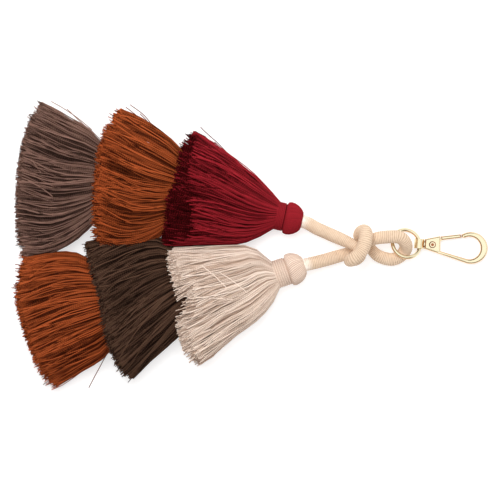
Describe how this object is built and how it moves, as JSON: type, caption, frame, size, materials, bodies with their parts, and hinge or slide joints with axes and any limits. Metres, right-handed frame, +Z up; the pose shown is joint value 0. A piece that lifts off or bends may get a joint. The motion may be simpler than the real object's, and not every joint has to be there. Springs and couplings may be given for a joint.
{
  "type": "tassel bag charm",
  "caption": "Flat-lying bag charm: fringed yarn tassels in two tiered chains on one knotted wound cord, with a ring and a swivel snap hook.",
  "frame": {"origin": "on the table, under the middle of the charm's outline", "axes": "+X along the charm from the tassels to the hook, +Y across it towards the chain that starts with the red tassel, +Z up from the table"},
  "size_m": [0.303, 0.1846, 0.0344],
  "materials": {
    "red_yarn": "matt cut yarn, dark red",
    "rust_yarn": "matt cut yarn, rust brown",
    "taupe_yarn": "matt cut yarn, taupe",
    "cream_yarn": "matt cut yarn, cream",
    "dark_brown_yarn": "matt cut yarn, dark brown",
    "wound_cord": "cord closely wound with pale beige yarn",
    "gold_metal": "polished pale gold plating"
  },
  "bodies": {
    "charm": {"tassel_red": "red_yarn", "tassel_rust_upper": "rust_yarn", "tassel_taupe": "taupe_yarn", "tassel_cream": "cream_yarn", "tassel_dark_brown": "dark_brown_yarn", "tassel_rust_lower": "rust_yarn", "tier_cord_upper_1": "wound_cord", "tier_cord_upper_2": "wound_cord", "tier_cord_lower_1": "wound_cord", "tier_cord_lower_2": "wound_cord", "wound_cord": "wound_cord", "ring": "gold_metal", "swivel": "gold_metal"},
    "hook": {"hook_frame": "gold_metal", "rivet": "gold_metal"},
    "gate": {"gate": "gold_metal"}
  },
  "joints": [
    {"name": "swivel_turn", "type": "hinge", "parent": "charm", "child": "hook", "pos_m": [0.111, 0.0003, 0.0038], "axis": [0.9956, -0.0843, -0.0401], "continuous": true},
    {"name": "gate_open", "type": "hinge", "parent": "hook", "child": "gate", "pos_m": [0.1158, -0.00011, 0.00361], "axis": [-0.04, 0.0034, -0.9992], "range_deg": [0, 25], "stiffness_Nm_per_rad": 0.004, "springref_deg": -34.38}
  ]
}
